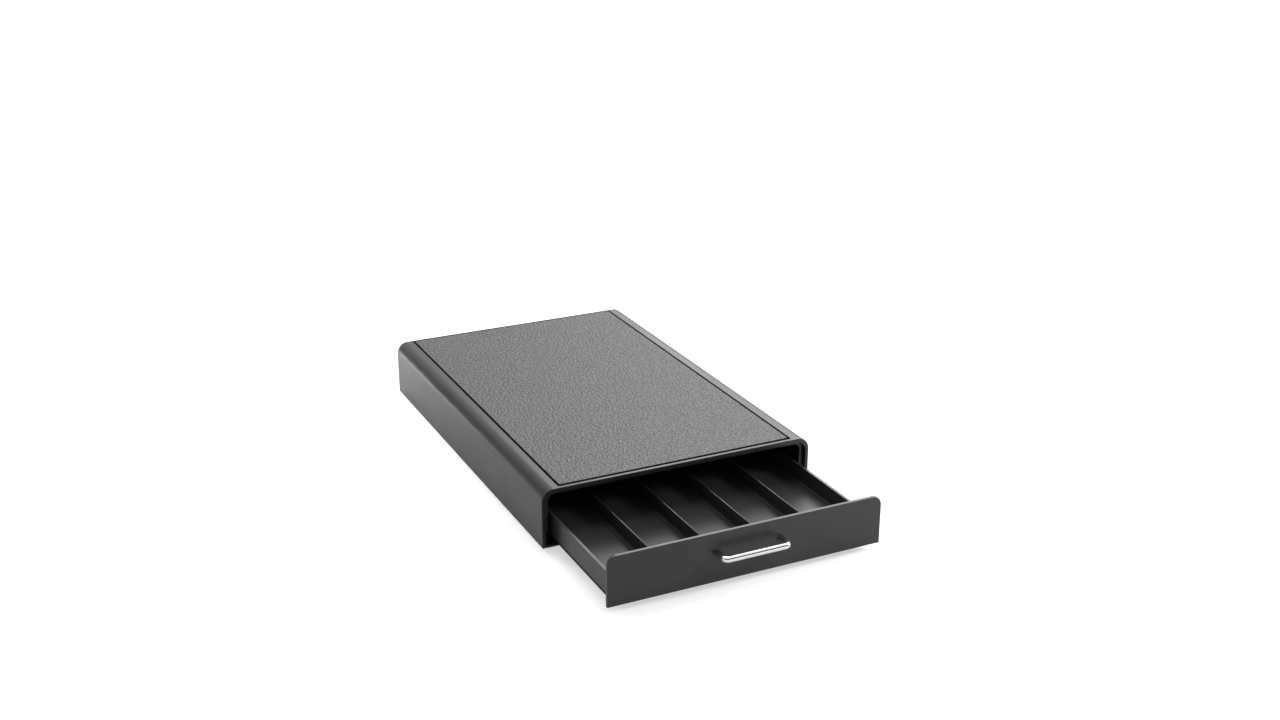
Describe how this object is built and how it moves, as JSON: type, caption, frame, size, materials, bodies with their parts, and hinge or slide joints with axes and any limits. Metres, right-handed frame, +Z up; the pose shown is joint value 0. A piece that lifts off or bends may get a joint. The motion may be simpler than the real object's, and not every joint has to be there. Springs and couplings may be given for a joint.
{
  "type": "coffee pod drawer",
  "caption": "Low black drawer for coffee pods: a moulded housing with a grained top platform, and a sliding tray parted into columns behind a flat front panel with a bow handle.",
  "frame": {"origin": "middle of the footprint at the height of the feet, with the drawer in its stored pose, drawn out 127 mm", "axes": "+X to the right, +Y to the back, away from the handle, +Z up"},
  "size_m": [0.27, 0.5532, 0.0577],
  "materials": {
    "housing_plastic": "satin black moulded plastic",
    "grained_mat": "black plastic with a fine pebble grain",
    "panel_plastic": "satin charcoal plastic",
    "tray_plastic": "satin black moulded plastic",
    "divider_plastic": "glossy dark plastic",
    "slide_plastic": "smooth black slide plastic",
    "foot_rubber": "matte black rubber",
    "screw_steel": "zinc-plated steel",
    "bright_chrome": "polished chrome"
  },
  "bodies": {
    "housing": {"housing_shell": "housing_plastic", "top_mat": "grained_mat", "base_plate": "housing_plastic", "left_rail": "slide_plastic", "right_rail": "slide_plastic", "front_left_foot": "foot_rubber", "front_right_foot": "foot_rubber", "rear_left_foot": "foot_rubber", "rear_right_foot": "foot_rubber", "base_screws": "screw_steel", "rail_screws": "screw_steel"},
    "drawer": {"drawer_tray": "tray_plastic", "front_panel": "panel_plastic", "left_runner": "slide_plastic", "right_runner": "slide_plastic", "divider_1": "divider_plastic", "divider_2": "divider_plastic", "divider_3": "divider_plastic", "divider_4": "divider_plastic", "handle": "bright_chrome", "handle_screws": "screw_steel", "panel_screws": "screw_steel", "runner_screws": "screw_steel"}
  },
  "joints": [
    {"name": "drawer_slide", "type": "slide", "parent": "housing", "child": "drawer", "axis": [0, -1, 0], "range_m": [-0.127, 0.142]}
  ]
}
